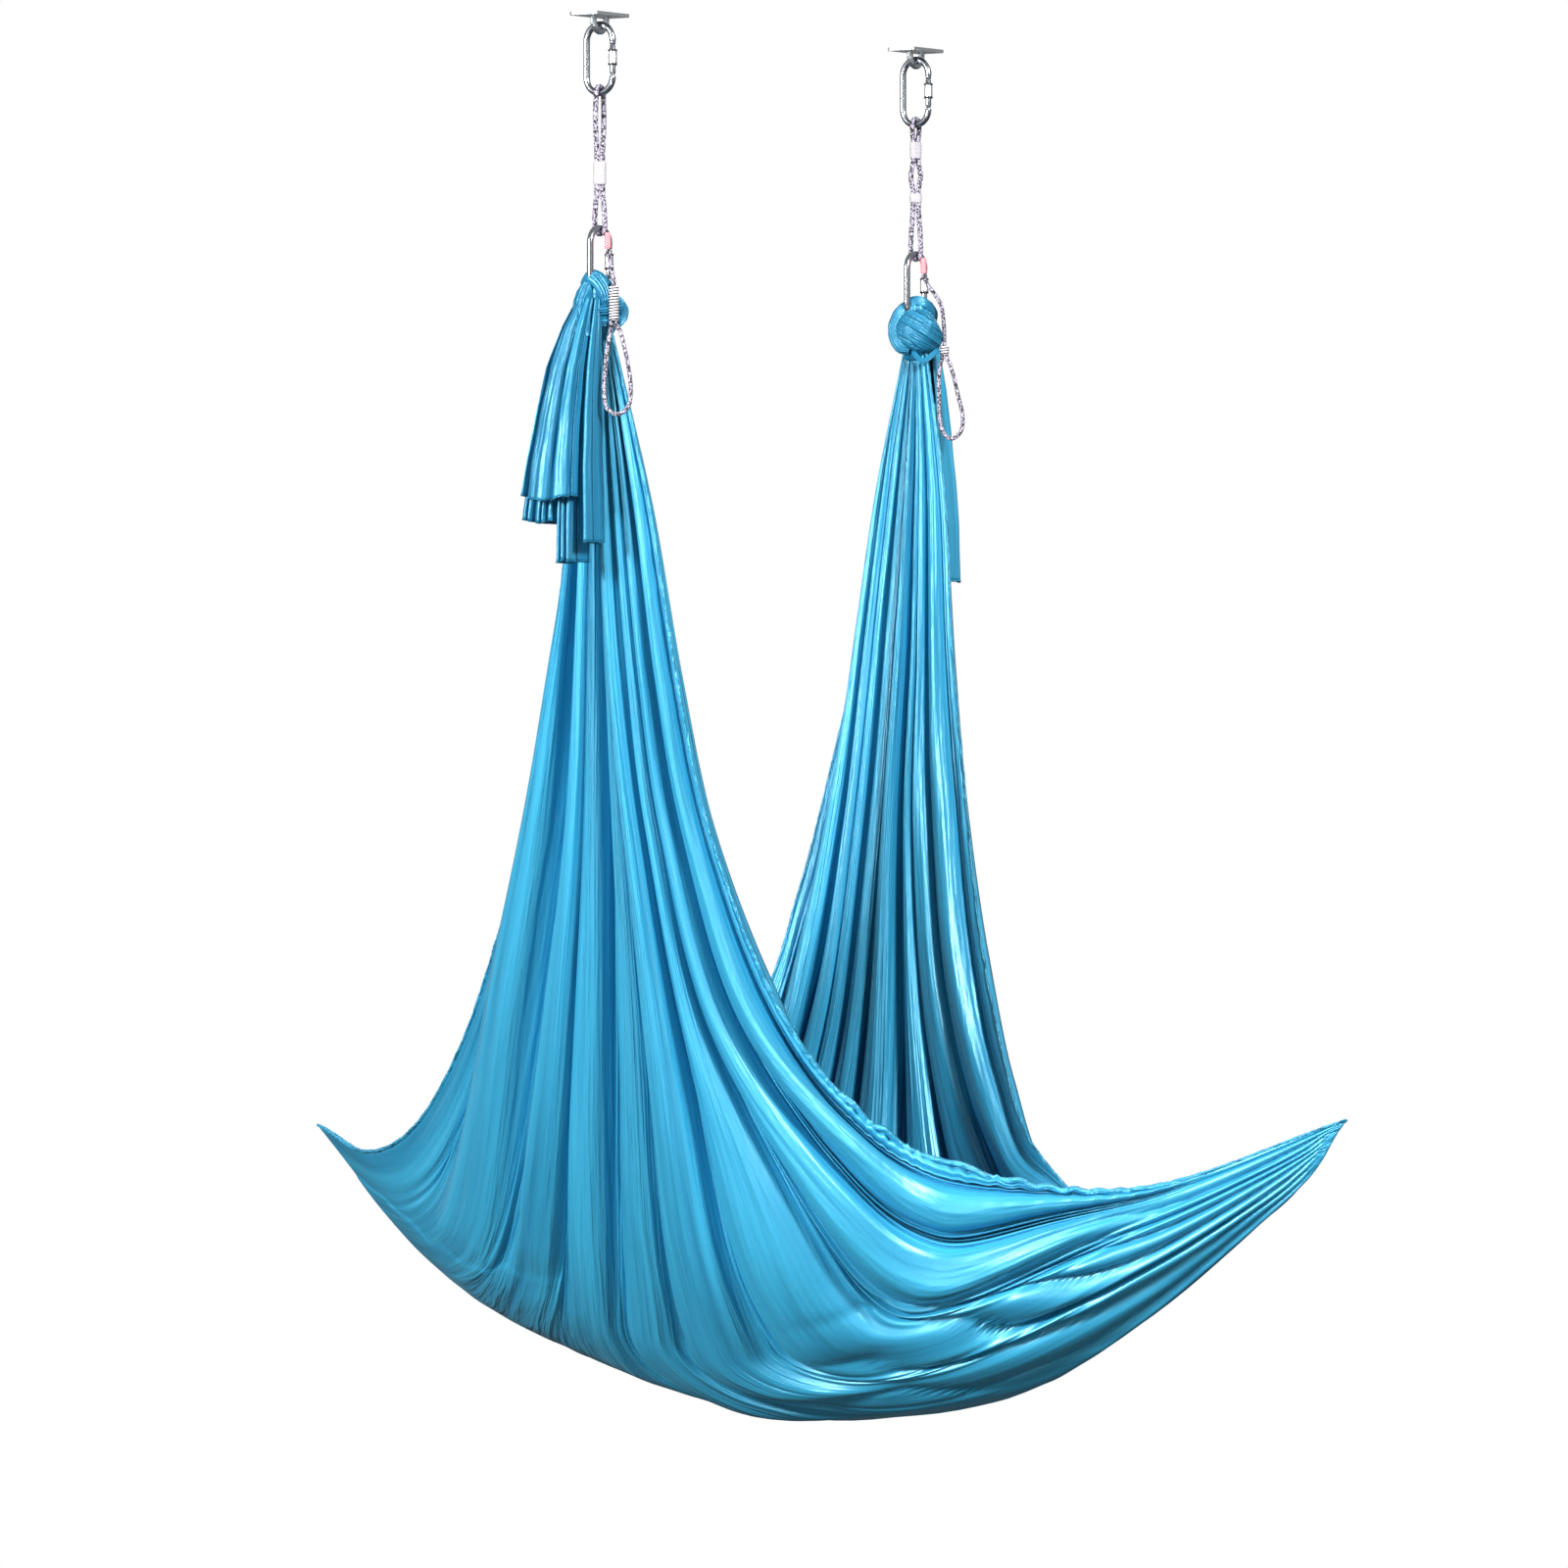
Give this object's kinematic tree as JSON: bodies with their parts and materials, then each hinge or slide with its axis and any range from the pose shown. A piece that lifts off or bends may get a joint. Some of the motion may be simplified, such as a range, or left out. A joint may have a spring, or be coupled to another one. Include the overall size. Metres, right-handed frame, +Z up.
{
  "type": "aerial hammock",
  "caption": "Gathered fabric sling knotted to screw-gate carabiners and hung on looped rope chains from two ceiling plates, drawn out to a point at each side.",
  "frame": {"origin": "centre of ceiling plate A's top face, where it meets the ceiling", "axes": "+Z up, +Y from ceiling plate A to ceiling plate B, +X towards the cloth's right-hand point"},
  "size_m": [1.9372, 1.0582, 2.1246],
  "materials": {
    "cloth": "satin nylon tricot, soft sheen",
    "rope": "pale round cord with dark flecks, matte",
    "whipping": "waxed twine in dark and pale turns",
    "red_stitching": "dense red bar tack on pale cord",
    "carabiner_steel": "polished",
    "sleeve_metal": "satin, black ends",
    "spring_steel": "plain",
    "plate_steel": "zinc plated"
  },
  "bodies": {
    "ceiling": {"ceiling_plate_a": "plate_steel", "ceiling_plate_b": "plate_steel"},
    "upper_carabiner_a": {"upper_carabiner_a_body": "carabiner_steel", "upper_carabiner_a_gate_pin": "carabiner_steel"},
    "rope_a": {"rope_chain_a": "rope", "rope_binding_a_1": "whipping"},
    "upper_carabiner_b": {"upper_carabiner_b_body": "carabiner_steel", "upper_carabiner_b_gate_pin": "carabiner_steel"},
    "rope_b": {"rope_chain_b": "rope", "rope_binding_b_1": "whipping", "rope_binding_b_2": "whipping"},
    "sling": {"cloth_sling": "cloth", "knot_a": "cloth", "tail_a": "cloth", "stitched_joint_a": "red_stitching", "link_cord_a": "rope", "whipped_section_a": "whipping", "end_loop_a": "rope", "knot_b": "cloth", "tail_b": "cloth", "stitched_joint_b": "red_stitching", "link_cord_b": "rope", "whipped_section_b": "whipping", "end_loop_b": "rope", "lower_carabiner_a_body": "carabiner_steel", "lower_carabiner_a_gate_pin": "carabiner_steel", "lower_carabiner_b_body": "carabiner_steel", "lower_carabiner_b_gate_pin": "carabiner_steel"},
    "upper_gate_a": {"upper_carabiner_a_gate": "carabiner_steel", "upper_carabiner_a_gate_spring": "spring_steel"},
    "upper_sleeve_a": {"upper_carabiner_a_sleeve": "sleeve_metal"},
    "lower_gate_a": {"lower_carabiner_a_gate": "carabiner_steel", "lower_carabiner_a_gate_spring": "spring_steel"},
    "lower_sleeve_a": {"lower_carabiner_a_sleeve": "sleeve_metal"},
    "upper_gate_b": {"upper_carabiner_b_gate": "carabiner_steel", "upper_carabiner_b_gate_spring": "spring_steel"},
    "upper_sleeve_b": {"upper_carabiner_b_sleeve": "sleeve_metal"},
    "lower_gate_b": {"lower_carabiner_b_gate": "carabiner_steel", "lower_carabiner_b_gate_spring": "spring_steel"},
    "lower_sleeve_b": {"lower_carabiner_b_sleeve": "sleeve_metal"}
  },
  "joints": [
    {"name": "side_swing_a", "type": "hinge", "parent": "ceiling", "child": "upper_carabiner_a", "pos_m": [0, 0, -0.0275], "axis": [0, 1, 0], "range_deg": [-35, 35]},
    {"name": "fore_aft_a", "type": "hinge", "parent": "upper_carabiner_a", "child": "rope_a", "pos_m": [0, 0, -0.1192], "axis": [1, 0, 0], "range_deg": [-15, 15]},
    {"name": "side_swing_b", "type": "hinge", "parent": "ceiling", "child": "upper_carabiner_b", "pos_m": [0, 0.84, -0.0275], "axis": [0, 1, 0], "range_deg": [-35, 35]},
    {"name": "fore_aft_b", "type": "hinge", "parent": "upper_carabiner_b", "child": "rope_b", "pos_m": [0, 0.84, -0.1192], "axis": [1, 0, 0], "range_deg": [-15, 15]},
    {"name": "sling_level", "type": "hinge", "parent": "rope_a", "child": "sling", "pos_m": [0, 0, -0.33], "axis": [1, 0, 0], "range_deg": [-15, 15]},
    {"name": "upper_gate_a", "type": "hinge", "parent": "upper_carabiner_a", "child": "upper_gate_a", "pos_m": [0.024, 0, -0.0895], "axis": [0, -1, 0], "range_deg": [0, 25], "stiffness_Nm_per_rad": 0.05, "springref_deg": -17.19},
    {"name": "upper_lock_a", "type": "slide", "parent": "upper_gate_a", "child": "upper_sleeve_a", "axis": [0, 0, 1], "range_m": [0, 0.012]},
    {"name": "lower_gate_a", "type": "hinge", "parent": "sling", "child": "lower_gate_a", "pos_m": [0, 0.024, -0.393], "axis": [1, 0, 0], "range_deg": [0, 25], "stiffness_Nm_per_rad": 0.05, "springref_deg": -17.19},
    {"name": "lower_lock_a", "type": "slide", "parent": "lower_gate_a", "child": "lower_sleeve_a", "axis": [0, 0, 1], "range_m": [0, 0.012]},
    {"name": "upper_gate_b", "type": "hinge", "parent": "upper_carabiner_b", "child": "upper_gate_b", "pos_m": [0.024, 0.84, -0.0895], "axis": [0, -1, 0], "range_deg": [0, 25], "stiffness_Nm_per_rad": 0.05, "springref_deg": -17.19},
    {"name": "upper_lock_b", "type": "slide", "parent": "upper_gate_b", "child": "upper_sleeve_b", "axis": [0, 0, 1], "range_m": [0, 0.012]},
    {"name": "lower_gate_b", "type": "hinge", "parent": "sling", "child": "lower_gate_b", "pos_m": [0, 0.864, -0.393], "axis": [1, 0, 0], "range_deg": [0, 25], "stiffness_Nm_per_rad": 0.05, "springref_deg": -17.19},
    {"name": "lower_lock_b", "type": "slide", "parent": "lower_gate_b", "child": "lower_sleeve_b", "axis": [0, 0, 1], "range_m": [0, 0.012]}
  ],
  "couplings": [
    {"joint": "side_swing_b", "follows": "side_swing_a", "ratio": 1},
    {"joint": "sling_level", "follows": "fore_aft_a", "ratio": -1},
    {"joint": "fore_aft_b", "follows": "fore_aft_a", "ratio": 1}
  ]
}
